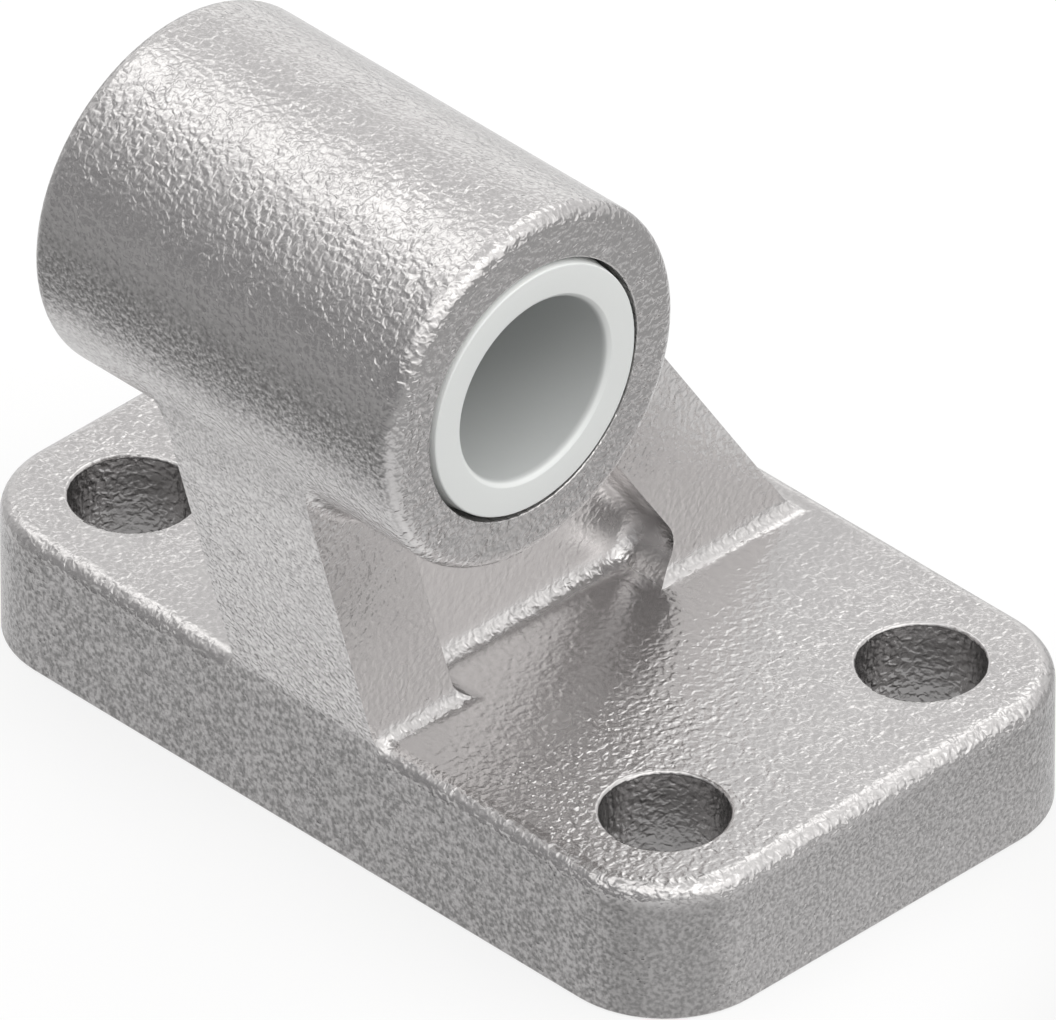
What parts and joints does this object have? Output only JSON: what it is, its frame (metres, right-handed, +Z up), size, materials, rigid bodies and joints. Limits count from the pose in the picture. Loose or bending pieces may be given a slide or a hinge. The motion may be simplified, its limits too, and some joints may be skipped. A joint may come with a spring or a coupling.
{
  "type": "cylinder clevis foot",
  "caption": "Right-angled cast mounting foot with a bolted rectangular plate, a leaning H-section leg and an overhanging pin eye lined with a white plain bearing bush.",
  "frame": {"origin": "middle of the four bolt holes, on the bolted underside of the plate", "axes": "+X along the pin and the plate's long side, +Y away from the side that the eye overhangs, +Z up from the bolted face"},
  "size_m": [0.051, 0.0375, 0.042],
  "materials": {
    "cast_metal": "as cast, fine orange-peel grain",
    "bush_plastic": "smooth, pale grey-white"
  },
  "bodies": {
    "root": {"casting": "cast_metal", "bearing_bush": "bush_plastic"}
  },
  "joints": []
}
